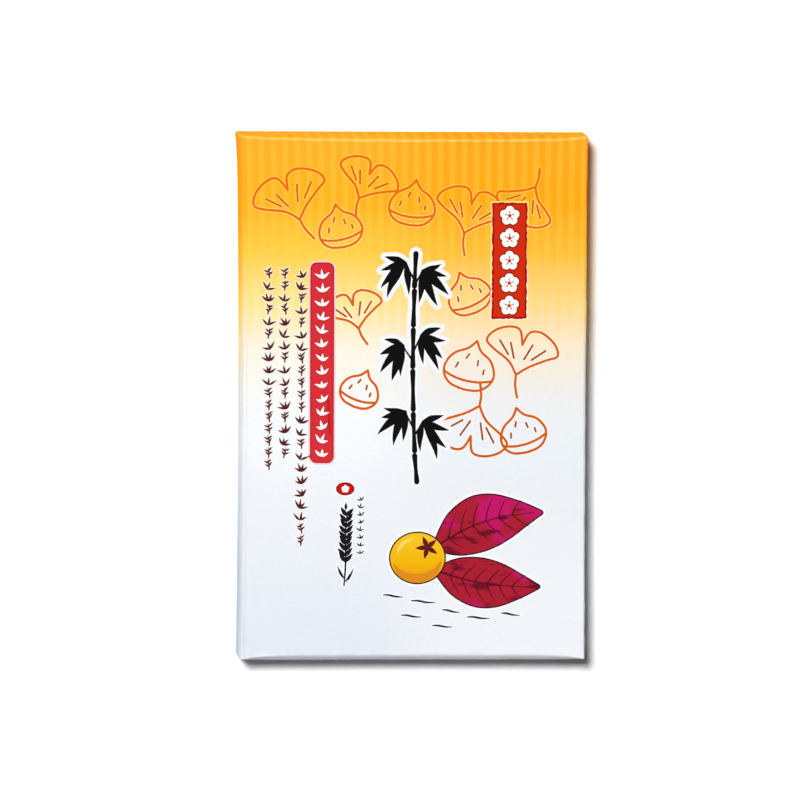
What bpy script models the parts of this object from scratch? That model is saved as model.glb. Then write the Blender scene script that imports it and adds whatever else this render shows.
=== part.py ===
"""A flat gift box of sweets in printed wrapping paper, lying with its printed face up.

Metres, +Z up. +Y points to the head of the print and +X to its right.
The origin is the centre of the underside.
The paper is folded round the box as for a parcel. At each end the two side tabs go in
first, the top flap comes down over them, and the bottom flap comes up last of all.
"""
import bmesh
import bpy
from mathutils import Vector

# Driving dimensions
LENGTH = 0.160             # over the flaps on both end walls
WIDTH = 0.105              # between the middles of the side walls
HEIGHT = 0.030             # up to the middle of the crowned face
FOLD_RADIUS = 0.0012       # how sharply the paper turns over the box's edges
CROWN = 0.0004             # rise of the face between its edges and its middle
CORNER_FLARE = 0.0005      # how far the folded corners, where the paper is thickest, stand out
FLARE_POWER = 12           # a higher power keeps the flare closer to the corners
FLAP_DEPTH = 0.0200        # from an end fold to the free edge of its flap
FLAP_START = 0.0024        # where a flap parts from the wall, measured from its fold
FLAP_RUN = 0.0030          # the distance over which it rises to its full lift
PAPER_LIFT = 0.0003        # one layer of folded paper with the air that it holds
FLAP_ROOT = 0.0010         # how deep a flap's solid reaches into the box

# The plain box that the paper's flare, crown and folds are worked on
HALF_WIDTH = WIDTH / 2
HALF_LENGTH = LENGTH / 2 - 2 * PAPER_LIFT
BOX_HEIGHT = HEIGHT - CROWN

# How finely each piece is cut into a grid, along X, Y and Z
BOX_GRID = (10, 14, 4)
FLAP_GRID = (8, 1, 6)
FOLD_SEGMENTS = 3
FOLD_ANGLE = 0.8           # radians: a sharper edge than this is one of the box's folds

# The print's colours, linear, from the foot of the print at 0 to its head at 1
PAPER_FADE = (
    (0.00, (0.80, 0.86, 0.93)),
    (0.45, (0.91, 0.91, 0.90)),
    (0.66, (0.98, 0.75, 0.36)),
    (0.86, (1.00, 0.43, 0.02)),
)
PAPER_ROUGHNESS = 0.42


def clear_scene():
    """Remove what a new Blender file starts with."""
    for item in list(bpy.data.objects):
        bpy.data.objects.remove(item)


def collection(name):
    """Add a collection to the scene."""
    group = bpy.data.collections.new(name)
    bpy.context.scene.collection.children.link(group)
    return group


def bell(t):
    """1 in the middle of a side and 0 at its two ends, for t from -1 to 1."""
    return 1.0 - t * t


def swell(point):
    """Carry a point of the plain box to its place on the wrapped one."""
    across = point.x / HALF_WIDTH
    along = point.y / HALF_LENGTH
    flare = CORNER_FLARE * min(abs(along), 1.0) ** FLARE_POWER
    crown = CROWN * bell(across) * bell(min(abs(along), 1.0))
    return Vector((
        point.x + across * flare,
        point.y,
        point.z * (1.0 + crown / BOX_HEIGHT),
    ))


def sliced_cube(grid):
    """A cube from -1 to 1 whose faces are cut into a grid."""
    cube = bmesh.new()
    bmesh.ops.create_cube(cube, size=2.0)
    for axis, count in enumerate(grid):
        normal = Vector((0.0, 0.0, 0.0))
        normal[axis] = 1.0
        for step in range(1, count):
            everything = cube.verts[:] + cube.edges[:] + cube.faces[:]
            level = 2.0 * step / count - 1.0
            bmesh.ops.bisect_plane(cube, geom=everything, plane_co=normal * level, plane_no=normal)
    return cube


def shaped_object(name, grid, place, group):
    """Make a sliced cube into an object, with each corner moved by the rule in place."""
    cube = sliced_cube(grid)
    for vert in cube.verts:
        vert.co = place(vert.co)
    bmesh.ops.recalc_face_normals(cube, faces=cube.faces)
    mesh = bpy.data.meshes.new(name)
    cube.to_mesh(mesh)
    cube.free()
    shape = bpy.data.objects.new(name, mesh)
    group.objects.link(shape)
    return shape


def box_place(corner):
    """The wrapped box without its flaps."""
    plain = Vector((
        corner.x * HALF_WIDTH,
        corner.y * HALF_LENGTH,
        (corner.z + 1.0) / 2.0 * BOX_HEIGHT,
    ))
    return swell(plain)


def flap_rule(end, from_head_fold, layers):
    """The rule for one end flap: end is 1 at +Y and -1 at -Y, layers is the paper under it."""
    def place(corner):
        reach = (corner.z + 1.0) / 2.0
        distance = FOLD_RADIUS + reach * (FLAP_DEPTH - FOLD_RADIUS)
        rise = max(-1.0, min(1.0, (distance - FLAP_START) / FLAP_RUN))
        face = HALF_LENGTH + layers * PAPER_LIFT * rise
        root = HALF_LENGTH - FLAP_ROOT
        outward = corner.y * end > 0.0
        return swell(Vector((
            corner.x * (HALF_WIDTH - distance),
            end * (face if outward else root),
            BOX_HEIGHT - distance if from_head_fold else distance,
        )))
    return place


def paper_material(name):
    """Coated paper whose print fades from orange at the head to a cool white at the foot."""
    material = bpy.data.materials.new(name)
    material.use_nodes = True
    nodes = material.node_tree.nodes
    links = material.node_tree.links
    place = nodes.new("ShaderNodeTexCoord")
    parts = nodes.new("ShaderNodeSeparateXYZ")
    ramp = nodes.new("ShaderNodeValToRGB")
    points = ramp.color_ramp.elements
    while len(points) < len(PAPER_FADE):
        points.new(0.5)
    for point, (position, colour) in zip(points, PAPER_FADE):
        point.position = position
        point.color = (*colour, 1.0)
    surface = nodes["Principled BSDF"]
    surface.inputs["Roughness"].default_value = PAPER_ROUGHNESS
    links.new(place.outputs["Generated"], parts.inputs["Vector"])
    links.new(parts.outputs["Y"], ramp.inputs["Fac"])
    links.new(ramp.outputs["Color"], surface.inputs["Base Color"])
    return material


def make_flaps(group):
    """The flaps folded over both end walls, as solids that reach into the box."""
    for side, end in (("head", 1), ("foot", -1)):
        for edge, from_head_fold, layers in (("upper", True, 1), ("lower", False, 2)):
            rule = flap_rule(end, from_head_fold, layers)
            flap = shaped_object(f"{side}_{edge}_flap", FLAP_GRID, rule, group)
            flap.display_type = "WIRE"
            flap.hide_render = True


def make_wrapped_box(group, flaps):
    """The box in its paper: one solid with rounded folds and low flaps at both ends."""
    box = shaped_object("wrapped_box", BOX_GRID, box_place, group)
    box.data.materials.append(paper_material("printed_paper"))
    folds = box.modifiers.new("folds", "BEVEL")
    folds.width = FOLD_RADIUS
    folds.segments = FOLD_SEGMENTS
    folds.limit_method = "ANGLE"
    folds.angle_limit = FOLD_ANGLE
    union = box.modifiers.new("flaps", "BOOLEAN")
    union.operation = "UNION"
    union.solver = "EXACT"
    union.operand_type = "COLLECTION"
    union.collection = flaps
    return box


def main():
    clear_scene()
    part = collection("wrapped_gift_box")
    flaps = collection("flap_shapes")
    make_flaps(flaps)
    make_wrapped_box(part, flaps)


main()
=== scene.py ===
"""Looks of the wrapped gift box: its paper, the folds and the print.

Lengths are in millimetres until a mesh is made. +Y is the head of the print, +Z is up,
and the origin is the centre of the underside.
"""

import math
import random

import bpy
from mathutils import Matrix, Vector, noise
from mathutils.geometry import delaunay_2d_cdt


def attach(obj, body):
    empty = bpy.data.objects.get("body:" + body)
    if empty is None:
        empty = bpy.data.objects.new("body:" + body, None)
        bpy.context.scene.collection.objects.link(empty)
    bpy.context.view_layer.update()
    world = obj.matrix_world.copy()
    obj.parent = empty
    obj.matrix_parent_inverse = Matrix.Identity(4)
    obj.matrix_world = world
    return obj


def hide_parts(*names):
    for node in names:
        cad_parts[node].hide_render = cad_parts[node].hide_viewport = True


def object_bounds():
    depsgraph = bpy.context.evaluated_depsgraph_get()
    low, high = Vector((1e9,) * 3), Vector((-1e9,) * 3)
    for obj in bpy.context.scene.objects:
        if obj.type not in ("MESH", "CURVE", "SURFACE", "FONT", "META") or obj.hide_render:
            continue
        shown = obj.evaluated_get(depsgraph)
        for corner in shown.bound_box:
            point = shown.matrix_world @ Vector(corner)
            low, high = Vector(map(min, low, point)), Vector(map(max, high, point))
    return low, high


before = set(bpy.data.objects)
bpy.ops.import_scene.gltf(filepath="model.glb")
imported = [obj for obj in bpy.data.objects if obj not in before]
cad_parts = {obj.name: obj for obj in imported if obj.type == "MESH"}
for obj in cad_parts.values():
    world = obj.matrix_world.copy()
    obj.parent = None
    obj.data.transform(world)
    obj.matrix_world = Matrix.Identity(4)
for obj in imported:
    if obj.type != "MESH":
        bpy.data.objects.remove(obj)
CAD_LOW, CAD_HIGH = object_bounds()

MM = 0.001

# The plain box that the paper is wrapped round, and how the paper departs from it
LENGTH = (CAD_HIGH.y - CAD_LOW.y) / MM
HEIGHT = (CAD_HIGH.z - CAD_LOW.z) / MM
WIDTH = 105.0
FOOT_RADIUS = 1.2
FOOT_EDGE_RADIUS = 0.6
FOOT_EDGE_POWER = 10
HEAD_RADIUS = 1.4
SIDE_RADIUS = 0.9
LOWER_RADIUS = 0.7
LOWER_CORNER_SHARE = 0.3
LOWER_CORNER_POWER = 8
SHARP_RADIUS = 0.4
RADIUS_BLEND = (1.0, 9.0)
CROWN = 0.4
TAPER = 0.0028
SKEW = 0.0015
HEAD_BOW = 0.3
HEAD_BOW_HEIGHT = 5.0
FOOT_BOW = 1.1
FOOT_BOW_HEIGHT = 3.8
FOOT_BULGE = 0.15
BOW_POWER = 20
FLARE_POWER = 12
LAYER = 0.14
FLAP_DEPTH = 20.0
HALF_WIDTH = WIDTH / 2
HALF_LENGTH = LENGTH / 2 - 2 * LAYER
BOX_HEIGHT = HEIGHT - CROWN

# How far each corner stands out, by side (1 is right) and end (1 is head): to its side and to
# its end, first at the underside and then at the face
CORNER_FLARES = {
    (-1, 1): ((0.75, 0.0), (0.30, 0.45)),
    (1, 1): ((0.75, 0.0), (0.28, 0.90)),
    (-1, -1): ((-0.10, 0.80), (0.30, 0.0)),
    (1, -1): ((0.05, 0.0), (0.05, 0.0)),
}
# How sharply the paper turns at each corner, and how far the middle of each side is drawn in
CORNER_RADII = {(-1, 1): 0.8, (1, 1): 1.1, (-1, -1): SHARP_RADIUS, (1, -1): SHARP_RADIUS}
WAIST = {-1: 0.5, 1: 0.1}

# The sheet itself, and the width of the band in which its grid is close, where it turns
PAPER = 0.15
LAP_EDGE = 14.0
TURN = 2.5
GRID = 1.25
FOLD_STEPS = 9

# Waves and crinkles: height and size, on the whole sheet, on the walls and twice near the folds.
# How far from a fold they reach, and where they set in below the face and over the underside
WAVES = ((0.10, 34.0), (0.16, 17.0), (0.16, 5.0), (0.06, 1.9))
CRINKLE_REACH = 2.2
WAVE_STARTS = (8.0, 5.0)

# A flap: its grid, how far its rise spreads, where it climbs over the flap below, how deep its
# fold sinks in, how much its loose edge lifts, and how wide its thin rim is. Then the lap
FLAP_STEPS = (26, 96)
FLAP_RISE = 6.0
FLAP_CLIMB = (7.0, 13.0)
SINK = 0.02
FLAP_LIFT = 0.14
FLAP_RIM = 0.45
LAP_STEPS = (110, 30)
LAP_RISE = 4.0

# Light and colour
FACE_LIGHT = 1.20
FACE_GLOSS = 0.4


def ink(red, green, blue):
    """The linear colour of an ink that reads as this screen colour on the lit face."""
    def linear(value):
        part = value / 255.0
        return part / 12.92 if part <= 0.04045 else ((part + 0.055) / 1.055) ** 2.4
    return tuple(linear(value) / FACE_LIGHT for value in (red, green, blue)) + (1.0,)


def smooth(low, high, value):
    """0 below low and 1 above high, with a soft turn at both."""
    t = max(0.0, min(1.0, (value - low) / (high - low)))
    return t * t * (3.0 - 2.0 * t)


def bell(t):
    """1 in the middle of a side and 0 at its two ends, for t from -1 to 1."""
    return 1.0 - min(abs(t), 1.0) ** 2


def ripple(place, size, layer=0):
    """Noise from -1 to 1 that changes over the given size."""
    return noise.noise(Vector(place) / size + Vector((layer * 17.3, 0.0, 0.0)))


# The paper's surface

def sides(x, y):
    """Which side and end of the box a point is nearer to, each 1 or -1."""
    return (1 if x > 0.0 else -1), (1 if y > 0.0 else -1)


def end_shift(across, end, z):
    """How far an end wall is drawn in, most along its upper fold. Below it the foot's stands out."""
    if end > 0:
        return HEAD_BOW * bell(across) * smooth(BOX_HEIGHT - HEAD_BOW_HEIGHT, BOX_HEIGHT, z)
    lean = max(0.0, min(1.0, 1.0 - (BOX_HEIGHT - z) / FOOT_BOW_HEIGHT))
    return (FOOT_BOW * lean - FOOT_BULGE * (1.0 - lean)) * (1.0 - min(abs(across), 1.0) ** FLARE_POWER)


def swell(x, y, z):
    """Carry a point of the plain box to its place on the wrapped one."""
    across = x / HALF_WIDTH
    along = y / HALF_LENGTH
    side, end = sides(x, y)
    low, high = CORNER_FLARES[side, end]
    aside, onward = (a + (b - a) * z / BOX_HEIGHT for a, b in zip(low, high))
    flare = aside * min(abs(along), 1.0) ** FLARE_POWER - WAIST[side] * bell(along)
    crown = CROWN * bell(across) * bell(along)
    shift = onward * min(abs(across), 1.0) ** FLARE_POWER - end_shift(across, end, z)
    return Vector((
        x * (1.0 + TAPER * along) + across * flare,
        y * (1.0 - SKEW * across) + end * shift * min(abs(along), 1.0) ** BOW_POWER,
        z * (1.0 + crown / BOX_HEIGHT),
    ))


def fold_radius(x, y, z):
    """The paper turns softly along the middle of an end, less so along a side, sharply at a corner."""
    across = min(abs(x) / HALF_WIDTH, 1.0)
    along = min(abs(y) / HALF_LENGTH, 1.0)
    corner = CORNER_RADII[sides(x, y)]
    if HALF_LENGTH - abs(y) > HALF_WIDTH - abs(x):
        upper = corner + (SIDE_RADIUS - corner) * bell(along)
    elif y > 0.0:
        upper = corner + (HEAD_RADIUS - corner) * bell(across)
    else:
        upper = corner + (FOOT_EDGE_RADIUS - corner) * (1.0 - across ** FOOT_EDGE_POWER)
        upper += (FOOT_RADIUS - FOOT_EDGE_RADIUS) * bell(across)
    at_corner = (across * along) ** LOWER_CORNER_POWER
    lower = LOWER_RADIUS + LOWER_CORNER_SHARE * (corner - SHARP_RADIUS) * at_corner
    return upper + (lower - upper) * smooth(*RADIUS_BLEND, BOX_HEIGHT - z)


def wave(x, y, z):
    """How far the paper stands off the box at a point of its surface."""
    down = BOX_HEIGHT - z
    gaps = sorted((HALF_WIDTH - abs(x), HALF_LENGTH - abs(y), down))
    near = math.exp(-(max(gaps[1], 0.0) / CRINKLE_REACH) ** 2)
    on_wall = smooth(0.0, WAVE_STARTS[0], down) if down > TURN else 0.0
    height = sum(
        share * WAVES[layer][0] * ripple((x, y, z), WAVES[layer][1], layer)
        for layer, share in enumerate((1.0, on_wall, near, near))
    )
    return height * smooth(0.0, WAVE_STARTS[1], z)


def paper_point(x, y, z, lift=0.0):
    """A point of the paper, from a point of the sharp-edged box and its height above the paper."""
    radius = fold_radius(x, y, z)
    inner = Vector((
        max(-HALF_WIDTH + radius, min(HALF_WIDTH - radius, x)),
        max(-HALF_LENGTH + radius, min(HALF_LENGTH - radius, y)),
        max(PAPER + radius, min(BOX_HEIGHT - radius, z)),
    ))
    out = (Vector((x, y, z)) - inner).normalized()
    placed = inner + out * (radius + lift + wave(x, y, z))
    return swell(*placed)


def stations(low, high):
    """Places along one side of the box, close together where the paper turns at its ends."""
    turns = [TURN * math.tan(math.radians(45.0) * step / FOLD_STEPS) for step in range(1, FOLD_STEPS + 1)]
    start, end = low + TURN, high - TURN
    count = round((end - start) / GRID)
    middle = [start + (end - start) * step / count for step in range(count + 1)]
    return [start - turn for turn in reversed(turns)] + middle + [end + turn for turn in turns]


def under_place(x, from_right=True):
    """How far round the sheet a point of the underside is from the middle of the face."""
    way = 1.0 if from_right else -1.0
    return way * (HALF_WIDTH + BOX_HEIGHT + HALF_WIDTH - way * x)


def sheet_place(axis, side, zone, x, y, z):
    """Where a point of one wall lies on the flat sheet, from the middle of the face."""
    if axis == 2:
        return (x, y) if side > 0 else (under_place(x), y)
    if axis == 0:
        return side * (HALF_WIDTH + BOX_HEIGHT - z), y
    if zone == "head":
        return x, side * (HALF_LENGTH + BOX_HEIGHT - z)
    if zone == "foot":
        return under_place(x), side * (HALF_LENGTH + z)
    way = 1.0 if x > 0.0 else -1.0
    return way * (HALF_WIDTH + BOX_HEIGHT - z), side * (HALF_LENGTH + HALF_WIDTH - abs(x))


def end_zone(x, z):
    """Which fold of the sheet a point of an end wall belongs to."""
    band = 3.0
    corner = HALF_WIDTH - abs(x)
    if BOX_HEIGHT - z < min(band, corner):
        return "head"
    if z < min(band, corner):
        return "foot"
    return "tab"


def wall_quads(axis, side, lines):
    """The quads of one wall, each as four grid places in order, facing out."""
    one, two = [other for other in range(3) if other != axis]
    level = len(lines[axis]) - 1 if side > 0 else 0
    for a in range(len(lines[one]) - 1):
        for b in range(len(lines[two]) - 1):
            quad = []
            for step_a, step_b in ((0, 0), (1, 0), (1, 1), (0, 1)):
                place = {axis: level, one: a + step_a, two: b + step_b}
                quad.append(tuple(place[n] for n in range(3)))
            if (side < 0) != (axis == 1):
                quad.reverse()
            yield quad


def make_piece(name, corners, faces, sheet, material, rounded=True, second=None):
    """Make a mesh of points in millimetres, with each face corner's place on the sheet.

    second is another material and the numbers of the faces that have it.
    """
    mesh = bpy.data.meshes.new(name)
    mesh.from_pydata([corner * MM for corner in corners], [], faces)
    layer = mesh.uv_layers.new(name="sheet")
    for spot, place in zip(layer.data, sheet):
        spot.uv = (place[0] * MM, place[1] * MM)
    mesh.materials.append(material)
    if second:
        mesh.materials.append(second[0])
        for number in second[1]:
            mesh.polygons[number].material_index = 1
    if rounded:
        mesh.shade_smooth()
    mesh.validate()
    piece = bpy.data.objects.new(name, mesh)
    bpy.context.scene.collection.objects.link(piece)
    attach(piece, "root")
    return piece


def make_wrap(face_paper, wall_paper):
    """The paper round the whole box, with its side tabs tucked in at both ends."""
    spans = ((-HALF_WIDTH, HALF_WIDTH), (-HALF_LENGTH, HALF_LENGTH), (PAPER, BOX_HEIGHT))
    lines = [stations(*span) for span in spans]
    numbers, corners, faces, sheet, dull = {}, [], [], [], []
    for axis in range(3):
        for side in (-1, 1):
            for quad in wall_quads(axis, side, lines):
                spots = [tuple(lines[n][place[n]] for n in range(3)) for place in quad]
                for place, spot in zip(quad, spots):
                    if place not in numbers:
                        numbers[place] = len(corners)
                        corners.append(paper_point(*spot))
                centre = [sum(spot[n] for spot in spots) / 4.0 for n in range(3)]
                zone = end_zone(centre[0], centre[2])
                if axis != 2 or side < 0:
                    dull.append(len(faces))
                faces.append([numbers[place] for place in quad])
                sheet += [sheet_place(axis, side, zone, *spot) for spot in spots]
    return make_piece("wrapping_paper", corners, faces, sheet, face_paper, second=(wall_paper, dull))


def thin_sheet(rows):
    """A closed thin sheet from rows of (outer point, inner point, place on the sheet)."""
    across = len(rows[0])
    outer, inner, places = ([cell[part] for row in rows for cell in row] for part in range(3))
    count = len(outer)
    faces = []
    for a in range(len(rows) - 1):
        for b in range(across - 1):
            start = a * across + b
            quad = [start, start + 1, start + across + 1, start + across]
            faces.append(quad)
            faces.append([count + corner for corner in reversed(quad)])
    rim = list(range(across))
    rim += [a * across + across - 1 for a in range(1, len(rows))]
    rim += [(len(rows) - 1) * across + b for b in range(across - 2, -1, -1)]
    rim += [a * across for a in range(len(rows) - 2, 0, -1)]
    for first, second in zip(rim, rim[1:] + rim[:1]):
        faces.append([second, first, count + first, count + second])
    sheet = [places[corner % count] for face in faces for corner in face]
    return outer + inner, faces, sheet


def make_flap(name, end, from_head, layers, material):
    """One flap folded over an end wall: the lower ones lie on the tabs, the upper ones on both."""
    start = 0.5 * TURN
    rows = []
    for a in range(FLAP_STEPS[0] + 1):
        reach = a / FLAP_STEPS[0]
        distance = start + reach * (FLAP_DEPTH - start)
        half = HALF_WIDTH - distance
        z = BOX_HEIGHT - distance if from_head else PAPER + distance
        climb = smooth(0.0, FLAP_RISE, distance - start)
        if layers > 1:
            climb = 0.5 * climb + 0.5 * smooth(*FLAP_CLIMB, distance)
        row = []
        for b in range(FLAP_STEPS[1] + 1):
            t = 2.0 * b / FLAP_STEPS[1] - 1.0
            t = math.copysign(1.0 - (1.0 - abs(t)) ** 1.5, t)
            x = t * half
            rise = climb * layers * LAYER - SINK
            if layers > 1:
                rise += FLAP_LIFT * reach ** 5 * bell(t) * (1.0 + ripple((x, 0.0, 0.0), 19.0, 7))
            rounding = min(1.0, (half - abs(x)) / FLAP_RIM)
            rise *= math.sqrt(1.0 - (1.0 - rounding) ** 2) * 0.75 + 0.25
            outer, inner = (paper_point(x, end * HALF_LENGTH, z, lift) for lift in (rise, rise - PAPER))
            place = (x if from_head else under_place(x), end * (HALF_LENGTH + distance))
            row.append((outer, inner, place))
        rows.append(row)
    if (end > 0) != from_head:
        rows = [row[::-1] for row in rows]
    return make_piece(name, *thin_sheet(rows), material)


def make_lap(material):
    """The edge of the sheet where it laps over itself along the underside."""
    rows = []
    half = HALF_LENGTH - 1.2 * TURN
    for a in range(LAP_STEPS[0] + 1):
        y = half * (2.0 * a / LAP_STEPS[0] - 1.0)
        row = []
        for b in range(LAP_STEPS[1] + 1):
            x = -HALF_WIDTH + 0.6 * TURN + (HALF_WIDTH + LAP_EDGE) * b / LAP_STEPS[1]
            turn = smooth(-HALF_WIDTH, -HALF_WIDTH + LAP_RISE, x)
            outer = paper_point(x, y, PAPER, PAPER * turn - SINK * (1.0 - turn))
            inner = outer + Vector((0.0, 0.0, PAPER + SINK))
            row.append((outer, inner, (under_place(x, from_right=False), y)))
        rows.append(row)
    return make_piece("underside_lap", *thin_sheet(rows), material)


# Print: flat shapes, as outlines in millimetres on the face, counter-clockwise

def spline(points, closed=False, steps=5):
    """A smooth line through points of any number of values."""
    count = len(points)
    line = []
    for span in range(count if closed else count - 1):
        near = range(span - 1, span + 3)
        four = [points[n % count if closed else min(max(n, 0), count - 1)] for n in near]
        for step in range(steps):
            t = step / steps
            line.append(tuple(
                0.5 * (2 * b + (c - a) * t + (2 * a - 5 * b + 4 * c - d) * t * t
                       + (3 * b - a - 3 * c + d) * t ** 3)
                for a, b, c, d in zip(*four)
            ))
    return line if closed else line + [tuple(points[-1])]


def stroke(nodes, grow=0.0, steps=5):
    """A brush line through (x, y, width) nodes, with round ends."""
    line = spline(nodes, steps=steps)
    left, right, ends = [], [], []
    for number, (x, y, width) in enumerate(line):
        before = line[max(number - 1, 0)]
        after = line[min(number + 1, len(line) - 1)]
        along = Vector((after[0] - before[0], after[1] - before[1])).normalized()
        half = max(width / 2, 0.04) + grow
        side = Vector((-along.y, along.x)) * half
        left.append((x + side.x, y + side.y))
        right.append((x - side.x, y - side.y))
        ends.append((x, y, math.atan2(along.y, along.x), half))
    caps = []
    for (x, y, heading, half), first in ((ends[-1], -90), (ends[0], 90)):
        turns = [heading + math.radians(first + 45 * step) for step in (1, 2, 3)]
        caps.append([(x + half * math.cos(turn), y + half * math.sin(turn)) for turn in turns])
    return right + caps[0] + left[::-1] + caps[1]


def oval(centre, across, up, steps=26):
    """An oval, from its centre and its two radii."""
    turns = [math.tau * step / steps for step in range(steps)]
    return [(centre[0] + across * math.cos(turn), centre[1] + up * math.sin(turn)) for turn in turns]


def widen(outline, amount):
    """An outline moved outward on all sides."""
    made = []
    for number, (x, y) in enumerate(outline):
        before, after = outline[number - 1], outline[(number + 1) % len(outline)]
        along = Vector((after[0] - before[0], after[1] - before[1])).normalized()
        made.append((x + along.y * amount, y - along.x * amount))
    return made


def placed(points, centre, size, angle):
    """Points of a drawing one unit in size, turned and moved to their place. Widths are kept."""
    turn = math.radians(angle)
    cos, sin = size * math.cos(turn), size * math.sin(turn)
    return [
        (centre[0] + cos * x - sin * y, centre[1] + sin * x + cos * y, *rest)
        for x, y, *rest in points
    ]


def brush_leaf(base, angle, length, width, bend=0.0):
    """The nodes of a leaf drawn with one press of the brush."""
    shape = ((0.0, 0.22), (0.14, 0.6), (0.40, 1.0), (0.75, 0.55), (1.0, 0.03))
    nodes = [(reach, bend * reach * (1.0 - reach), width * press) for reach, press in shape]
    return placed(nodes, base, length, angle)


def grown(box, amount):
    """An upright box, as its left, right, bottom and top, moved outward on all sides."""
    return [side + way * amount for side, way in zip(box, (-1, 1, -1, 1))]


def rounded_box(box, radius):
    """The outline of an upright box with round corners."""
    left, right, bottom, top = grown(box, -radius)
    made = []
    for x, y, first in ((right, top, 0), (left, top, 90), (left, bottom, 180), (right, bottom, 270)):
        turns = [math.radians(first + 15 * step) for step in range(7)]
        made += [(x + radius * math.cos(turn), y + radius * math.sin(turn)) for turn in turns]
    return made


# How rough a worn edge is, and how far apart its points lie
WORN = 0.16
WORN_PITCH = 0.75


def rough_box(box, rng):
    """The outline of an upright box with worn edges, like a stamp's."""
    left, right, bottom, top = box
    corners = ((right, bottom), (right, top), (left, top), (left, bottom))
    made = []
    for number, (x, y) in enumerate(corners):
        before = corners[number - 1]
        count = round((abs(x - before[0]) + abs(y - before[1])) / WORN_PITCH)
        for step in range(count):
            made.append(tuple(
                b + (a - b) * step / count + rng.uniform(-WORN, WORN) for a, b in zip((x, y), before)
            ))
    return made


# The grid inside a field of ink, and how deep the ink reaches into the paper
INK_GRID = 1.7
INK_DEPTH = 0.05

# How the whole print sits on the face: its size, and how far to the right and the head it lies
PRINT_SIZE = 1.0045
PRINT_PLACE = (-0.55, 0.82)


def print_place(x, y):
    """Where a place of the print lies on the face."""
    return PRINT_SIZE * x + PRINT_PLACE[0], PRINT_SIZE * y + PRINT_PLACE[1]


def covers(outline, x, y):
    """Whether a place lies inside an outline, also where the outline crosses itself."""
    winding = 0
    for number, (x_two, y_two) in enumerate(outline):
        x_one, y_one = outline[number - 1]
        if (y_one <= y) != (y_two <= y):
            side = (x_two - x_one) * (y - y_one) - (x - x_one) * (y_two - y_one)
            if (side > 0.0) == (y_two > y_one):
                winding += 1 if y_two > y_one else -1
    return winding != 0


def box_of(outline):
    """The left, right, bottom and top of an outline."""
    across = [place[0] for place in outline]
    up = [place[1] for place in outline]
    return min(across), max(across), min(up), max(up)


def make_print(name, outlines, lift, look):
    """Ink on the face: the union of some outlines, as a thin solid that rises by its lift.

    look is a material, or the screen colour of a plain ink.
    """
    if not isinstance(look, bpy.types.Material):
        look = ink_material(f"{name} ink", (-77.0, look), (77.0, look))
    points, edges = [], []
    outlines = [[print_place(*place) for place in outline] for outline in outlines]
    for outline in outlines:
        first, count = len(points), len(outline)
        edges += [(first + step, first + (step + 1) % count) for step in range(count)]
        points += [Vector(place) for place in outline]
    boxes = [(box_of(outline), outline) for outline in outlines]
    left, right, bottom, top = box_of(points)
    for a in range(int((right - left) / INK_GRID)):
        for b in range(int((top - bottom) / INK_GRID)):
            points.append(Vector((left + INK_GRID * (a + 0.51), bottom + INK_GRID * (b + 0.53))))
    flat, _, triangles, *_ = delaunay_2d_cdt(points, edges, [], 0, 0.001)
    kept = []
    for triangle in triangles:
        x, y = sum((flat[corner] for corner in triangle), Vector((0.0, 0.0))) / 3.0
        near = [line for (x_low, x_high, y_low, y_high), line in boxes
                if x_low < x < x_high and y_low < y < y_high]
        if any(covers(line, x, y) for line in near):
            kept.append(list(triangle))
    used = sorted({corner for triangle in kept for corner in triangle})
    numbers = {corner: number for number, corner in enumerate(used)}
    kept = [[numbers[corner] for corner in triangle] for triangle in kept]
    places = [flat[corner] for corner in used]
    count = len(places)
    corners = [paper_point(place.x, place.y, BOX_HEIGHT, lift) for place in places]
    corners += [paper_point(place.x, place.y, BOX_HEIGHT, -INK_DEPTH) for place in places]
    faces = kept + [[count + corner for corner in reversed(triangle)] for triangle in kept]
    borders = {(tri[n], tri[(n + 1) % 3]) for tri in kept for n in range(3)}
    for first, second in sorted(borders):
        if (second, first) not in borders:
            faces.append([first, count + first, count + second, second])
    sheet = [tuple(places[corner % count]) for face in faces for corner in face]
    return make_piece(name, corners, faces, sheet, look, rounded=False)


def make_strokes(name, lines, lift, look, grow=0.0, steps=5):
    """Print brush lines, each wider by grow on both sides."""
    make_print(name, [stroke(line, grow, steps) for line in lines], lift, look)


# How high each layer of the print lies over the paper
SKETCH_HALO, SKETCH, HALO, RIM, FILL, DETAIL, ACCENT = (0.012 + 0.017 * layer for layer in range(7))
SKETCH_TOP, TOP, CREST = SKETCH + 0.004, ACCENT + 0.008, ACCENT + 0.014

# Outline drawings one unit in size, as lines of points, for the scattered sketches
FAN_LEAF = (
    ((0.0, 0.0), (-0.22, 0.26), (-0.60, 0.46), (-0.78, 0.62), (-0.66, 0.84), (-0.38, 0.99),
     (-0.12, 0.97), (0.0, 0.66)),
    ((0.0, 0.0), (0.24, 0.22), (0.58, 0.44), (0.80, 0.58), (0.68, 0.82), (0.36, 1.0),
     (0.10, 0.95), (0.0, 0.66)),
    ((0.0, 0.02), (0.03, -0.22), (0.13, -0.48)),
)
FAN_VEINS = (
    ((-0.12, 0.34), (-0.26, 0.66)),
    ((-0.26, 0.40), (-0.50, 0.66)),
    ((0.10, 0.36), (0.22, 0.70)),
    ((0.26, 0.38), (0.52, 0.64)),
)
NUT = (
    ((0.02, 0.92), (-0.16, 0.68), (-0.50, 0.46), (-0.68, 0.14), (-0.64, -0.18), (-0.40, -0.40),
     (0.0, -0.47)),
    ((0.02, 0.92), (0.20, 0.66), (0.52, 0.46), (0.70, 0.12), (0.64, -0.18), (0.38, -0.41),
     (0.0, -0.47)),
    ((-0.66, -0.10), (-0.36, -0.19), (0.0, -0.22), (0.36, -0.18), (0.66, -0.08)),
)
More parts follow.
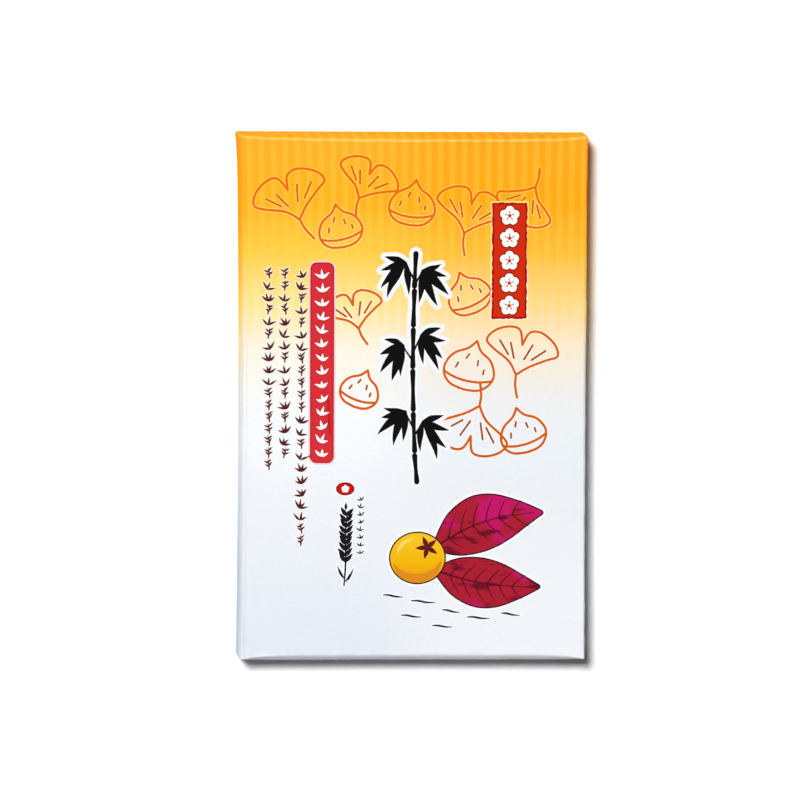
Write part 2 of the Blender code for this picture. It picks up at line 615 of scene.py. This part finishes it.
NUT_MARKS = (
    ((-0.10, 0.52), (-0.16, 0.38)),
    ((0.18, 0.40), (0.20, 0.26)),
    ((-0.34, 0.22), (-0.38, 0.08)),
    ((0.40, 0.18), (0.40, 0.06)),
)
LEAF, CHESTNUT = (FAN_LEAF, FAN_VEINS), (NUT, NUT_MARKS)
# Each sketch: its drawing, its centre, size and turn
SKETCHES = (
    (LEAF, (-34.5, 53.5), 14.5, 22),
    (LEAF, (-16.5, 60.0), 12.0, -24),
    (CHESTNUT, (-22.0, 49.5), 9.5, 12),
    (CHESTNUT, (-0.5, 56.5), 10.0, -8),
    (LEAF, (15.5, 49.5), 13.5, -14),
    (LEAF, (37.0, 63.5), 11.5, 152),
    (CHESTNUT, (17.5, 29.5), 9.5, 24),
    (LEAF, (31.5, 6.5), 14.0, -12),
    (CHESTNUT, (17.0, 7.0), 11.0, -14),
    (LEAF, (20.5, -3.0), 14.5, 164),
    (CHESTNUT, (34.0, -12.5), 10.0, 16),
    (LEAF, (-16.5, 20.5), 11.0, 14),
    (CHESTNUT, (-16.5, 0.5), 8.5, -20),
)
SKETCH_LINE = 0.74
SKETCH_MARK = 0.58
SKETCH_EDGE = 0.22


def make_sketches():
    """Fan-shaped leaves and nuts drawn in outline, each line with a pale edge."""
    lines, marks = [], []
    for drawing, centre, size, angle in SKETCHES:
        for made, drawn, width in zip((lines, marks), drawing, (SKETCH_LINE, SKETCH_MARK)):
            made += [placed([(x, y, width) for x, y in line], centre, size, angle) for line in drawn]
    pale = ink_material(
        "sketch edge", (10.0, (255, 250, 236)), (40.0, (255, 240, 180)), (62.0, (255, 210, 84)))
    ochre = ink_material("sketch line", (-20.0, (206, 90, 14)), (20.0, (224, 98, 6)), (60.0, (243, 110, 0)))
    brown = ink_material("sketch mark", (-20.0, (150, 58, 24)), (20.0, (176, 68, 12)), (60.0, (226, 94, 2)))
    make_strokes("sketch_edges", lines + marks, SKETCH_HALO, pale, SKETCH_EDGE)
    make_strokes("sketch_lines", lines, SKETCH, ochre)
    make_strokes("sketch_marks", marks, SKETCH_TOP, brown)


# The big black spray: the ends of its stalk's joints, and the places and sides of its leaf groups
STALK_JOINTS = ((0.9, 44.0), (0.5, 32.6), (0.2, 20.8), (0.1, 8.2), (0.3, -4.8), (0.8, -17.4), (1.5, -26.8))
STALK_WIDTH = 1.45
LEAF_GROUPS = (
    (-2.2, 40.6, -1), (2.9, 38.2, 1), (-2.8, 15.4, -1), (2.6, 18.6, 1), (-2.0, -4.6, -1), (3.3, -7.6, 1),
)
# A group's leaves: how far each hangs below the level, its length and width
GROUP_LEAVES = ((-14, 6.8, 1.9), (18, 8.2, 2.3), (44, 10.6, 2.8), (67, 11.8, 2.7), (90, 9.4, 2.1))
SPRAY_WHITE = 0.55
SPRAY_EDGE = 1.25


def make_spray():
    """A spray of brushed black leaves on a jointed stalk, in three tiers, with a white edge."""
    rng = random.Random(11)
    strokes = []
    for (x, y), (x_next, y_next) in zip(STALK_JOINTS, STALK_JOINTS[1:]):
        strokes.append([
            (x, y - 0.75, STALK_WIDTH * 1.15),
            ((x + x_next) / 2, (y + y_next) / 2, STALK_WIDTH * 0.8),
            (x_next, y_next + 0.75, STALK_WIDTH * 1.15),
        ])
    for x, y, side in LEAF_GROUPS:
        strokes.append([(0.3, y - 5.0, 0.7), (x * 0.75, y - 1.6, 0.5), (x, y, 0.6)])
        for drop, length, width in GROUP_LEAVES:
            turn = drop + rng.uniform(-6, 6)
            angle = -turn if side > 0 else 180 + turn
            size = (length * rng.uniform(0.88, 1.06), width * rng.uniform(0.9, 1.1))
            strokes.append(brush_leaf((x, y), angle, *size, rng.uniform(-0.3, 0.3)))
    make_strokes("spray_edge", strokes, HALO, (243, 247, 253), SPRAY_EDGE)
    make_strokes("spray_white", strokes, RIM, (254, 255, 255), SPRAY_WHITE)
    make_strokes("spray", strokes, FILL, (14, 13, 15))


def tuft(centre, size, rng, count=3, press=0.26):
    """A little tuft of brush dabs, fanned out of one place."""
    lean = rng.uniform(-30, 30)
    base = (centre[0] - 0.38 * size * math.cos(math.radians(90 + lean)), centre[1] - 0.42 * size)
    dabs = []
    for number in range(count):
        turn = 90 + lean + 108 * (number / (count - 1) - 0.5)
        length = size * rng.uniform(0.72, 0.98)
        dabs.append(brush_leaf(base, turn, length, size * press, rng.uniform(-0.2, 0.2)))
    return dabs


def sprig(centre, size, rng):
    """A little upright stem with two pairs of leaves."""
    lean = rng.uniform(-14, 14)
    stem = [(0.0, -0.5, 0.13 * size), (0.05, 0.0, 0.15 * size), (0.0, 0.5, 0.05 * size)]
    parts = [placed(stem, centre, size, lean)]
    for up in (-0.22, 0.12):
        for side in (-1, 1):
            base = placed([(0.03, up + 0.05 * side)], centre, size, lean)[0]
            turn = 90 + lean - side * rng.uniform(40, 62)
            parts.append(brush_leaf(base, turn, size * rng.uniform(0.42, 0.58), size * 0.19, 0.2 * side))
    return parts


def small_mark(centre, size, rng):
    """One of the kinds of small mark that fill the columns."""
    kind = rng.choice(("sprig", "sprig", "tuft", "wide tuft"))
    if kind == "sprig":
        return sprig(centre, size, rng)
    return tuft(centre, size, rng, 3 if kind == "tuft" else 4, 0.23)


# Columns of small marks: across, from, to
MARK_COLUMNS = ((-34.0, 37.2, -43.8), (-39.1, 37.2, -17.2), (-44.0, 37.2, -20.8))
MARK_PITCH = 3.6
MARK_SIZE = 3.15


def column(x, top, bottom, pitch):
    """Places at an even pitch down a column."""
    count = round((top - bottom) / pitch)
    return [(x, top + (bottom - top) * step / count) for step in range(count + 1)]


def make_mark_columns():
    """Three columns of small maroon leaf marks with a pale edge."""
    rng = random.Random(23)
    dabs = []
    for x, top, bottom in MARK_COLUMNS:
        for place in column(x, top, bottom, MARK_PITCH):
            dabs += small_mark(place, MARK_SIZE, rng)
    pale = ink_material("mark edge", (8.0, (252, 251, 249)), (40.0, (255, 240, 200)))
    make_strokes("mark_edges", dabs, HALO, pale, 0.3, 3)
    make_strokes("marks", dabs, FILL, (88, 30, 34), 0.0, 3)


LABEL = (-31.3, -24.0, -20.4, 40.5)
LABEL_PITCH = 4.1


def make_label():
    """A tall red label with round corners and a column of white sprigs."""
    left, right, bottom, top = LABEL
    rng = random.Random(5)
    sprigs = []
    for place in column((left + right) / 2, top - 3.6, bottom + 3.4, LABEL_PITCH):
        sprigs += tuft(place, 3.1, rng, 3, 0.30)
    make_print("label_edge", [rounded_box(grown(LABEL, 0.45), 2.45)], HALO, (236, 214, 220))
    make_print("label_rim", [rounded_box(LABEL, 2.0)], RIM, (198, 22, 36))
    make_print("label", [rounded_box(grown(LABEL, -0.4), 1.6)], FILL, (219, 46, 55))
    make_strokes("label_sprig_edges", sprigs, DETAIL, (176, 14, 26), 0.22, 4)
    make_strokes("label_sprigs", sprigs, ACCENT, (255, 250, 250), 0.0, 4)


STAMP = (24.0, 34.6, 23.5, 58.8)
BLOSSOM_PITCH = 6.9
BLOSSOM_SIZE = 6.2
PETAL_TURNS = tuple(90 + 72 * number for number in range(5))


def blossom(centre, size, grow=0.0):
    """Five round petals and the middle between them."""
    petals = []
    for turn in PETAL_TURNS:
        spot = placed([(0.27, 0.0)], centre, size, turn)[0]
        petals.append(oval(spot, 0.215 * size + grow, 0.215 * size + grow, 16))
    return petals + [oval(centre, 0.2 * size + grow, 0.2 * size + grow, 12)]


def make_stamp():
    """A red stamp with worn edges and five white blossoms."""
    left, right, bottom, top = STAMP
    petals, edges, hearts = [], [], []
    for spot in column((left + right) / 2, top - 4.0, bottom + 4.0, BLOSSOM_PITCH):
        petals += blossom(spot, BLOSSOM_SIZE)
        edges += blossom(spot, BLOSSOM_SIZE, 0.35)
        hearts.append(oval(spot, 0.5, 0.5, 12))
        for turn in PETAL_TURNS:
            hearts.append(stroke(placed([(0.6, 0.0, 0.22), (1.35, 0.0, 0.3)], spot, 1.0, turn), 0.0, 2))
    pale = ink_material(
        "stamp edge", (20.0, (255, 246, 220)), (45.0, (255, 236, 150)), (60.0, (255, 222, 110)))
    make_print("stamp_edge", [rounded_box(grown(STAMP, 0.45), 0.6)], HALO, pale)
    make_print("stamp_rim", [rough_box(STAMP, random.Random(7))], RIM, (172, 8, 26))
    make_print("stamp", [rough_box(grown(STAMP, -0.55), random.Random(8))], FILL, (213, 44, 8))
    make_print("stamp_blossom_edges", edges, DETAIL, (126, 12, 16))
    make_print("stamp_blossoms", petals, ACCENT, (255, 252, 248))
    make_print("stamp_hearts", hearts, TOP, (190, 36, 20))


SEAL = (-20.4, -28.2)


def make_seal():
    """A small red oval with a dark rim and a white blossom."""
    white = (255, 253, 253)
    make_print("seal_edge", [oval(SEAL, 3.3, 2.45)], HALO, white)
    make_print("seal_rim", [oval(SEAL, 2.85, 2.0)], RIM, (122, 4, 4))
    make_print("seal", [oval(SEAL, 2.5, 1.68)], FILL, (204, 22, 12))
    make_print("seal_blossom", blossom(SEAL, 2.5), DETAIL, white)


EAR_STEM = ((-20.6, -57.6, 0.4), (-20.1, -50.0, 0.55), (-20.3, -42.0, 0.5), (-19.7, -35.2, 0.35))
EAR_KERNELS = 9
DAB_COLUMN = (-15.7, -31.0, -47.2)


def make_ear():
    """A black ear of grain, with a column of small black tufts beside it."""
    rng = random.Random(31)
    lines = [EAR_STEM]
    for number in range(EAR_KERNELS):
        y = -36.4 - 1.75 * number
        x = -20.0 - 0.04 * number
        for turn in (52, 128):
            lines.append(brush_leaf((x, y), turn + rng.uniform(-6, 6), 3.2 + 0.03 * number, 1.35))
    lines.append(brush_leaf((-20.2, -34.6), 88, 2.4, 0.9))
    lines.append(brush_leaf((-20.4, -55.5), 118, 4.6, 0.8, 0.3))
    lines.append(brush_leaf((-20.4, -56.5), 58, 5.0, 0.8, -0.3))
    for place in column(*DAB_COLUMN, 2.3):
        lines += tuft(place, 1.75, rng, 3, 0.26)
    make_strokes("ear_edge", lines, HALO, (252, 254, 255), 0.4, 3)
    make_strokes("ear", lines, FILL, (26, 24, 27), 0.0, 3)


# The picture: a golden fruit with two long red leaves, each from its base to its tip
FRUIT = (1.8, -49.2)
FRUIT_SIZE = (8.3, 7.6)
LEAVES = (((7.0, -46.0), 18.0, 34.5, 16.5, 0.16), ((7.4, -53.0), -9.0, 32.0, 14.5, -0.10))
PICTURE_LINE = 0.42
PICTURE_EDGE = 1.1


def long_leaf(base, angle, length, width, bend):
    """The outline of a long pointed leaf, and the nodes of its veins."""
    def at(reach, offset):
        return (reach, bend * 4.0 * reach * (1.0 - reach) * 0.5 + offset * width / length)
    shape = ((0.0, 0.0), (0.08, 0.20), (0.22, 0.40), (0.42, 0.50), (0.62, 0.44), (0.82, 0.24), (0.95, 0.08))
    lower = [at(reach, -half) for reach, half in shape]
    upper = [at(reach, half) for reach, half in shape[1:]]
    outline = placed(spline(lower + [at(1.0, 0.0)] + upper[::-1], closed=True), base, length, angle)
    veins = [[(*at(reach, 0.0), 0.55 - 0.4 * reach) for reach in (0.02, 0.3, 0.6, 0.93)]]
    for reach in (0.14, 0.26, 0.38, 0.50, 0.62, 0.74):
        for side in (-1.0, 1.0):
            half = side * (0.36 - 0.9 * (reach - 0.4) ** 2)
            middle, tip = at(reach + 0.05, half * 0.55), at(reach + 0.11, half)
            veins.append([(*at(reach, 0.0), 0.36), (*middle, 0.30), (*tip, 0.14)])
    return outline, [placed(vein, base, length, angle) for vein in veins]


def make_picture():
    """The golden fruit and its red leaves, outlined in black on a white edge."""
    fruit = oval(FRUIT, *FRUIT_SIZE, 40)
    drawn = [long_leaf(*leaf) for leaf in LEAVES]
    leaves = [outline for outline, _ in drawn]
    veins = [vein for _, lines in drawn for vein in lines]
    whole = leaves + [fruit]
    x, y = FRUIT
    shade = [(-7.0, -2.2, 0.5), (-4.6, -5.0, 2.0), (0.4, -6.1, 2.4), (5.0, -4.4, 1.9), (7.2, -1.2, 0.5)]
    light = [(-6.2, 1.6, 0.4), (-4.4, 4.4, 1.1), (-1.6, 5.8, 0.5)]
    crown = [brush_leaf((x + 3.0, y + 3.2), angle, 3.6, 1.5) for angle in (40, 112, 184, 256, 328)]
    black = (40, 12, 20)
    red = mottled_ink("leaf red", (172, 30, 50), (196, 22, 104), (110, 16, 38))
    gold = ink_material(
        "fruit gold", (y - 7.0, (232, 150, 20)), (y - 2.0, (244, 182, 4)), (y + 6.0, (250, 200, 34)))
    make_print("picture_edge", [widen(line, PICTURE_EDGE) for line in whole], HALO, (253, 254, 255))
    make_print("picture_outline", [widen(line, PICTURE_LINE) for line in whole], RIM, black)
    make_print("red_leaves", leaves, FILL, red)
    make_strokes("leaf_veins", veins, DETAIL, (78, 12, 28), 0.0, 3)
    make_print("fruit_outline", [widen(fruit, PICTURE_LINE)], DETAIL, black)
    make_print("fruit", [fruit], ACCENT, gold)
    make_strokes("fruit_shade", [placed(shade, FRUIT, 1.0, 0)], TOP, (226, 140, 28))
    make_strokes("fruit_light", [placed(light, FRUIT, 1.0, 0)], TOP, (255, 220, 104))
    make_strokes("fruit_crown", crown, CREST, (98, 22, 30), 0.0, 4)


# Loose brush dashes under the picture: start, length and turn
DASHES = (
    ((-8.5, -60.4), 6.0, -7), ((0.0, -62.2), 7.4, -5), ((9.5, -65.0), 5.4, -9), ((-3.0, -66.6), 6.2, -6),
    ((17.0, -67.2), 7.0, -4), ((27.5, -66.0), 5.6, -8), ((6.5, -69.8), 6.0, -5),
)


def make_dashes():
    """A few navy dashes that stand for the ground."""
    shape = [(0.0, 0.0, 0.3), (0.3, 0.02, 0.62), (0.65, -0.015, 0.55), (1.0, 0.01, 0.2)]
    lines = [placed(shape, *dash) for dash in DASHES]
    make_strokes("dash_edges", lines, HALO, (252, 254, 255), 0.35)
    make_strokes("dashes", lines, FILL, (34, 38, 64))


# Materials

def add(tree, kind, inputs=None, **settings):
    """Add a node. An input takes a number, a colour or another node's output."""
    made = tree.nodes.new("ShaderNode" + kind)
    for key, value in settings.items():
        setattr(made, key, value)
    for key, value in (inputs or {}).items():
        if isinstance(value, bpy.types.NodeSocket):
            tree.links.new(value, made.inputs[key])
        else:
            made.inputs[key].default_value = value
    return made


def fade(tree, place, stops):
    """A colour that changes along the print, from (height in mm, colour) stops."""
    ramp = add(tree, "ValToRGB", {"Fac": place})
    points = ramp.color_ramp.elements
    while len(points) < len(stops):
        points.new(0.5)
    for point, (height, colour) in zip(points, stops):
        point.position = print_place(0.0, height)[1] / LENGTH + 0.5
        point.color = ink(*colour)
    return ramp.outputs["Color"]


# The print's fade: height in mm, and the screen colours at the left and the right of the face.
# Where left and right differ it is painted light and shade: the left is painted lighter in the
# middle and darker and cooler towards the foot.
# A red over 255 keeps the orange bright where less light falls on it.
FACE_FADE_AND_SHADE = (
    (-77.0, (229, 237, 246), (241, 244, 249)),
    (-60.0, (234, 240, 248), (241, 245, 250)),
    (-29.5, (242, 246, 251), (237, 242, 246)),
    (-14.0, (247, 252, 255), (238, 244, 249)),
    (-1.0, (250, 251, 251), (241, 242, 242)),
    (14.0, (254, 248, 231), (251, 238, 213)),
    (28.6, (264, 236, 160), (264, 221, 144)),
    (43.0, (274, 210, 76), (274, 193, 60)),
    (57.7, (276, 183, 30), (276, 172, 16)),
    (79.0, (276, 180, 44), (276, 171, 30)),
)
# From the left's colours to the right's
FACE_BLEND = (-22.0, 18.0)
# Painted shade down the side walls: there the orange reaches lower and is deeper, and the white is greyer
# and cooler
SHADED_WALL_FADE = (
    (-77.0, (208, 220, 234)),
    (-55.0, (207, 219, 236)),
    (-25.0, (226, 239, 253)),
    (0.0, (241, 245, 240)),
    (13.0, (260, 243, 184)),
    (26.0, (274, 224, 104)),
    (40.0, (276, 197, 38)),
    (55.0, (276, 170, 6)),
    (79.0, (276, 173, 20)),
)
# Painted shade and light at the folds: how much darker the face is at its left fold, how much
# brighter just over a side fold, and how far down the wall the painted wall shade reaches
RIM_SHADE = 0.09
RIM_BAND = (1.8, 0.4)
WALL_PAINTED_LIGHT = 0.16
WALL_PAINTED_LIGHT_BAND = (-0.6, 1.5)
WALL_SHADE_REACH = 23.0
# The stripes: ink, pitch, the middle of one, width, strength, softness, and where they fade out
STRIPE_INK = (276, 218, 78)
STRIPE_PERIOD = 3.629
STRIPE_CENTRE = -46.71
STRIPE_SHARE = 0.47
STRIPE_STRENGTH = 0.24
STRIPE_SOFTNESS = 0.05
STRIPE_BAND = (16.0, 28.1)
# The grain of the paper: the scale of its noise, and how strong and how high its relief is
TOOTH = (2600.0, 0.35, 0.00002)
UNEVEN = (160.0, 0.4, 0.00012)
CRINKLED = (420.0, 0.5, 0.00022)
MOTTLE_SCALE = 800.0
# How far the colour and the roughness swing with the grain
MOTTLE = (0.97, 1.03)
SPECKLE = (0.985, 1.015)
ROUGHNESS = (0.27, 0.35)


def math_node(tree, operation, first, second=0.0):
    """One step of arithmetic in a shader."""
    return add(tree, "Math", {0: first, 1: second}, operation=operation).outputs[0]


def chain(operation):
    """A function that joins values in a shader, from the first to the last."""
    def join(tree, first, *others):
        for other in others:
            first = math_node(tree, operation, first, other)
        return first
    return join


plus, minus, times = chain("ADD"), chain("SUBTRACT"), chain("MULTIPLY")


def soft_step(tree, value, low, high):
    """A shader's soft step from 0 at low to 1 at high."""
    inputs = {"Value": value, "From Min": low, "From Max": high}
    return add(tree, "MapRange", inputs, interpolation_type="SMOOTHSTEP").outputs["Result"]


def spread(tree, value, low, high):
    """A value from 0 to 1, carried to the span from low to high."""
    return add(tree, "MapRange", {"Value": value, "To Min": low, "To Max": high}).outputs["Result"]


def mix_colour(tree, amount, first, second):
    """Blend two colours in a shader."""
    return add(tree, "Mix", {0: amount, 6: first, 7: second}, data_type="RGBA").outputs[2]


def scaled(tree, colour, factor):
    """A colour times a number in a shader."""
    return add(tree, "VectorMath", {0: colour, "Scale": factor}, operation="SCALE").outputs["Vector"]


def grain(tree, scale, detail=2.0, place=None):
    """Noise from 0 to 1 over the piece, or over another place."""
    place = place or add(tree, "TexCoord").outputs["Object"]
    return add(tree, "TexNoise", {"Vector": place, "Scale": scale, "Detail": detail}).outputs["Fac"]


def bump(tree, height, relief, below=None):
    """The normal of some relief, over the relief below it."""
    inputs = {"Height": height, "Strength": relief[1], "Distance": relief[2]}
    if below:
        inputs["Normal"] = below
    return add(tree, "Bump", inputs).outputs["Normal"]


def surface_bump(tree, near_fold=None):
    """The tooth of coated paper, the slow unevenness of a wrapped sheet, and crinkles at its folds."""
    tooth = grain(tree, TOOTH[0])
    normal = bump(tree, grain(tree, UNEVEN[0]), UNEVEN, bump(tree, tooth, TOOTH))
    if near_fold:
        normal = bump(tree, times(tree, grain(tree, CRINKLED[0]), near_fold), CRINKLED, normal)
    return tooth, normal


def new_material(name):
    """A material and its node tree."""
    material = bpy.data.materials.new(name)
    material.use_nodes = True
    return material, material.node_tree


def sheet_parts(tree):
    """A point's place across and along the sheet, in metres, and its height from 0 to 1."""
    sheet = add(tree, "UVMap", uv_map="sheet")
    parts = add(tree, "SeparateXYZ", {"Vector": sheet.outputs["UV"]}).outputs
    ends = {"Value": parts["Y"], "From Min": -LENGTH / 2 * MM, "From Max": LENGTH / 2 * MM}
    return parts["X"], parts["Y"], add(tree, "MapRange", ends).outputs["Result"]


def finish_paper(tree, colour, gloss=FACE_GLOSS, near_fold=None):
    """Give a colour the paper's speckle, sheen and tooth."""
    surface = tree.nodes["Principled BSDF"].inputs
    tooth, normal = surface_bump(tree, near_fold)
    tree.links.new(scaled(tree, colour, spread(tree, tooth, *SPECKLE)), surface["Base Color"])
    tree.links.new(spread(tree, tooth, *ROUGHNESS), surface["Roughness"])
    tree.links.new(normal, surface["Normal"])
    surface["Specular IOR Level"].default_value = gloss


def ink_material(name, *stops):
    """Ink that changes along the print, from (height in mm, screen colour) stops."""
    material, tree = new_material(name)
    finish_paper(tree, fade(tree, sheet_parts(tree)[2], stops))
    return material


# How the streaks of a washed ink are drawn out
STREAK_SHAPE = (0.28, 1.0, 1.0)


def mottled_ink(name, ground, patch, deep):
    """Ink washed in three colours that run into each other."""
    material, tree = new_material(name)
    place = add(tree, "TexCoord").outputs["Object"]
    long = add(tree, "Mapping", {"Vector": place, "Scale": STREAK_SHAPE}).outputs["Vector"]
    patches = soft_step(tree, grain(tree, 85.0, 1.0), 0.50, 0.60)
    streaks = soft_step(tree, grain(tree, 430.0, 3.0, long), 0.55, 0.70)
    washed = mix_colour(tree, patches, ink(*ground), ink(*patch))
    finish_paper(tree, mix_colour(tree, streaks, washed, ink(*deep)))
    return material


# The painted highlight along a fold, a pale line: how far inside the sharp edge it lies at a
# corner, how much farther in the middle, the powers of its arc at foot and head, its waver, width and
# strength
FOLD_HIGHLIGHT_INSET = 0.15
FOLD_HIGHLIGHT_BULGE = 0.65
FOLD_HIGHLIGHT_POWERS = (8.0, 2.0)
FOLD_HIGHLIGHT_WAVER = 0.9
FOLD_HIGHLIGHT_WIDTH = (0.75, 0.1)
FOLD_HIGHLIGHT_STRENGTH = 0.33
FOLD_HIGHLIGHT_FADE = ((-77.0, (252, 253, 255)), (20.0, (262, 246, 214)), (79.0, (276, 216, 124)))
# Its share where weakest and along the foot, and what the corners there add
FOLD_HIGHLIGHT_LEAST = 0.28
FOLD_HIGHLIGHT_FOOT = 0.8
FOLD_HIGHLIGHT_CORNER = 1.4
FOLD_HIGHLIGHT_CORNER_BAND = (32.0, 44.0)
CRINKLE_BAND = (4.0, 0.6)


def band_step(tree, value, band):
    """A shader's soft step over a band in millimetres."""
    return soft_step(tree, value, band[0] * MM, band[1] * MM)


def painted_fold_highlight(tree, across, along):
    """How strong the painted highlight along the folds is, and how near the end folds a point is, both 0 to
    1.
    """
    aside = math_node(tree, "ABSOLUTE", across)
    share = math_node(tree, "MINIMUM", math_node(tree, "DIVIDE", aside, HALF_WIDTH * MM), 1.0)
    at_head = band_step(tree, along, (-1.0, 1.0))
    foot_power, head_power = FOLD_HIGHLIGHT_POWERS
    power = minus(tree, foot_power, times(tree, at_head, foot_power - head_power))
    bulge = minus(tree, 1.0, math_node(tree, "POWER", share, power))
    patches = grain(tree, 300.0)
    waver = times(tree, minus(tree, patches, 0.5), FOLD_HIGHLIGHT_WAVER * MM)
    inset = plus(tree, times(tree, bulge, FOLD_HIGHLIGHT_BULGE * MM), FOLD_HIGHLIGHT_INSET * MM, waver)
    gap = minus(tree, HALF_LENGTH * MM, math_node(tree, "ABSOLUTE", along))
    line = band_step(tree, math_node(tree, "ABSOLUTE", minus(tree, gap, inset)), FOLD_HIGHLIGHT_WIDTH)
    highlight_share = plus(tree, soft_step(tree, patches, 0.38, 0.62), FOLD_HIGHLIGHT_LEAST)
    at_corner = times(tree, band_step(tree, aside, FOLD_HIGHLIGHT_CORNER_BAND), FOLD_HIGHLIGHT_CORNER)
    at_foot = times(tree, minus(tree, 1.0, at_head), plus(tree, at_corner, FOLD_HIGHLIGHT_FOOT))
    reach = math_node(tree, "MAXIMUM", at_head, at_foot)
    return times(tree, line, highlight_share, reach, FOLD_HIGHLIGHT_STRENGTH), band_step(tree, gap, CRINKLE_BAND)


def paper_material(name, gloss):
    """Coated paper printed with the fade and fine stripes by sheet place, with painted light and shade."""
    material, tree = new_material(name)
    across, along, height = sheet_parts(tree)
    # The left and right columns carry painted light and shade as well as the print's fade
    left, right = (fade(tree, height, [(row[0], row[side]) for row in FACE_FADE_AND_SHADE]) for side in (1, 2))
    ground = mix_colour(tree, band_step(tree, across, FACE_BLEND), left, right)
    aside = math_node(tree, "ABSOLUTE", across)
    # Painted shade along the left fold, and painted light just over both side folds
    rim = band_step(tree, across, [gap - HALF_WIDTH for gap in RIM_BAND])
    over = band_step(tree, aside, [HALF_WIDTH + gap for gap in WALL_PAINTED_LIGHT_BAND])
    painted_light_and_shade = plus(tree, minus(tree, 1.0, times(tree, rim, RIM_SHADE)), times(tree, over, WALL_PAINTED_LIGHT))
    # Down the walls the colour turns to the painted wall shade, fully so some way below the fold
    down = band_step(tree, aside, (HALF_WIDTH, HALF_WIDTH + WALL_SHADE_REACH))
    ground = mix_colour(tree, down, scaled(tree, ground, painted_light_and_shade), fade(tree, height, SHADED_WALL_FADE))

    phase = math_node(tree, "DIVIDE", minus(tree, across, STRIPE_CENTRE * MM), STRIPE_PERIOD * MM)
    off = math_node(tree, "PINGPONG", phase, 0.5)
    edge = (STRIPE_SHARE / 2 + STRIPE_SOFTNESS, STRIPE_SHARE / 2 - STRIPE_SOFTNESS)
    amount = times(tree, soft_step(tree, off, *edge), band_step(tree, along, STRIPE_BAND), STRIPE_STRENGTH)
    striped = mix_colour(tree, amount, ground, ink(*STRIPE_INK))
    mottled = scaled(tree, striped, spread(tree, grain(tree, MOTTLE_SCALE, 1.0), *MOTTLE))
    # The painted highlight: a pale line along the folds and down the corners' edges
    fold_highlight, near_fold = painted_fold_highlight(tree, across, along)
    finish_paper(tree, mix_colour(tree, fold_highlight, mottled, fade(tree, height, FOLD_HIGHLIGHT_FADE)), gloss, near_fold)
    return material


# Stage, light and camera

FLOOR_COLOUR = (0.935, 0.915, 0.91, 1.0)
ROOM_COLOUR = (1.0, 0.82, 0.82, 1.0)
ROOM_LIGHT = 0.058


def make_floor():
    """A plain white floor."""
    bpy.ops.mesh.primitive_plane_add(size=12.0)
    floor = bpy.context.object
    floor.name = "floor"
    material, tree = new_material("floor")
    surface = tree.nodes["Principled BSDF"].inputs
    surface["Base Color"].default_value = FLOOR_COLOUR
    surface["Roughness"].default_value = 0.9
    surface["Specular IOR Level"].default_value = 0.0
    floor.data.materials.append(material)


# Lights that give no gloss: name, the way toward it, its power, and its width in degrees
SUNS = (
    ("key", (-0.146, 0.175, 1.0), 3.46, 6.8),
    ("fill", (-0.60, 0.80, 0.36), 1.05, 30.0),
)
# Panels that only give the folds their gloss: name, place and power
GLOSS_PANELS = (
    ("head panel", (0.0, 0.90, 0.78), 5.0),
    ("left panel", (-0.90, 0.0, 0.78), 0.1),
    ("foot panel", (0.0, -0.90, 0.78), 3.0),
)
PANEL_SIZE = (0.7, 0.15)


def new_light(name, kind, toward, energy):
    """A light that shines on the box from one side."""
    light = bpy.data.objects.new(name, bpy.data.lights.new(name, kind))
    light.data.energy = energy
    light.rotation_mode = "QUATERNION"
    light.rotation_quaternion = Vector(toward).to_track_quat("Z", "Y")
    bpy.context.scene.collection.objects.link(light)
    return light


def make_lights():
    """A key light nearly overhead, a low fill, a dim room, and panels for the gloss."""
    world = bpy.data.worlds.new("studio")
    bpy.context.scene.world = world
    world.use_nodes = True
    back = world.node_tree.nodes["Background"].inputs
    back["Color"].default_value = ROOM_COLOUR
    back["Strength"].default_value = ROOM_LIGHT

    for name, toward, energy, angle in SUNS:
        sun = new_light(name, "SUN", toward, energy)
        sun.data.angle = math.radians(angle)
        sun.visible_glossy = False

    for name, place, energy in GLOSS_PANELS:
        panel = new_light(name, "AREA", place, energy)
        panel.data.shape = "RECTANGLE"
        panel.data.size, panel.data.size_y = PANEL_SIZE
        panel.location = place
        panel.visible_diffuse = False
    bpy.context.scene.view_settings.view_transform = "Standard"


# The camera: its distance, its lean to the head and to the left and its roll in degrees, the
# width that it sees, and the place on the face that it looks at
CAMERA_DISTANCE = 10000.0
CAMERA_TILT = 3.8
CAMERA_LEFT = 3.6
CAMERA_ROLL = 0.29
FIELD = 243.5
AIM = (-4.29, -0.40)


def make_camera():
    """Straight above the face, a little towards its head and its left."""
    data = bpy.data.cameras.new("camera")
    camera = bpy.data.objects.new("camera", data)
    bpy.context.scene.collection.objects.link(camera)
    target = Vector((AIM[0], AIM[1], HEIGHT)) * MM
    lean = (-math.tan(math.radians(CAMERA_LEFT)), math.tan(math.radians(CAMERA_TILT)), 1.0)
    back = Vector(lean).normalized()
    level = Vector((0.0, 1.0, 0.0)).cross(back).normalized()
    right = Matrix.Rotation(math.radians(CAMERA_ROLL), 3, back) @ level
    turn = Matrix((right, back.cross(right), back)).transposed().to_4x4()
    camera.matrix_world = Matrix.Translation(target + back * CAMERA_DISTANCE * MM) @ turn
    data.sensor_width = 36.0
    data.lens = data.sensor_width * CAMERA_DISTANCE / FIELD
    bpy.context.scene.camera = camera


def main():
    make_camera()
    make_lights()
    make_floor()
    paper = paper_material("printed paper, walls", 0.0)
    wrap = make_wrap(paper_material("printed paper, face", FACE_GLOSS), paper)
    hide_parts("wrapped_box")
    for end, side in ((1, "head"), (-1, "foot")):
        make_flap(f"{side}_upper_flap", end, True, 2, paper)
        make_flap(f"{side}_lower_flap", end, False, 1, paper)
    make_lap(paper)
    for make in (
            make_sketches, make_mark_columns, make_label, make_stamp, make_spray, make_seal, make_ear,
            make_picture, make_dashes,
    ):
        make()


main()
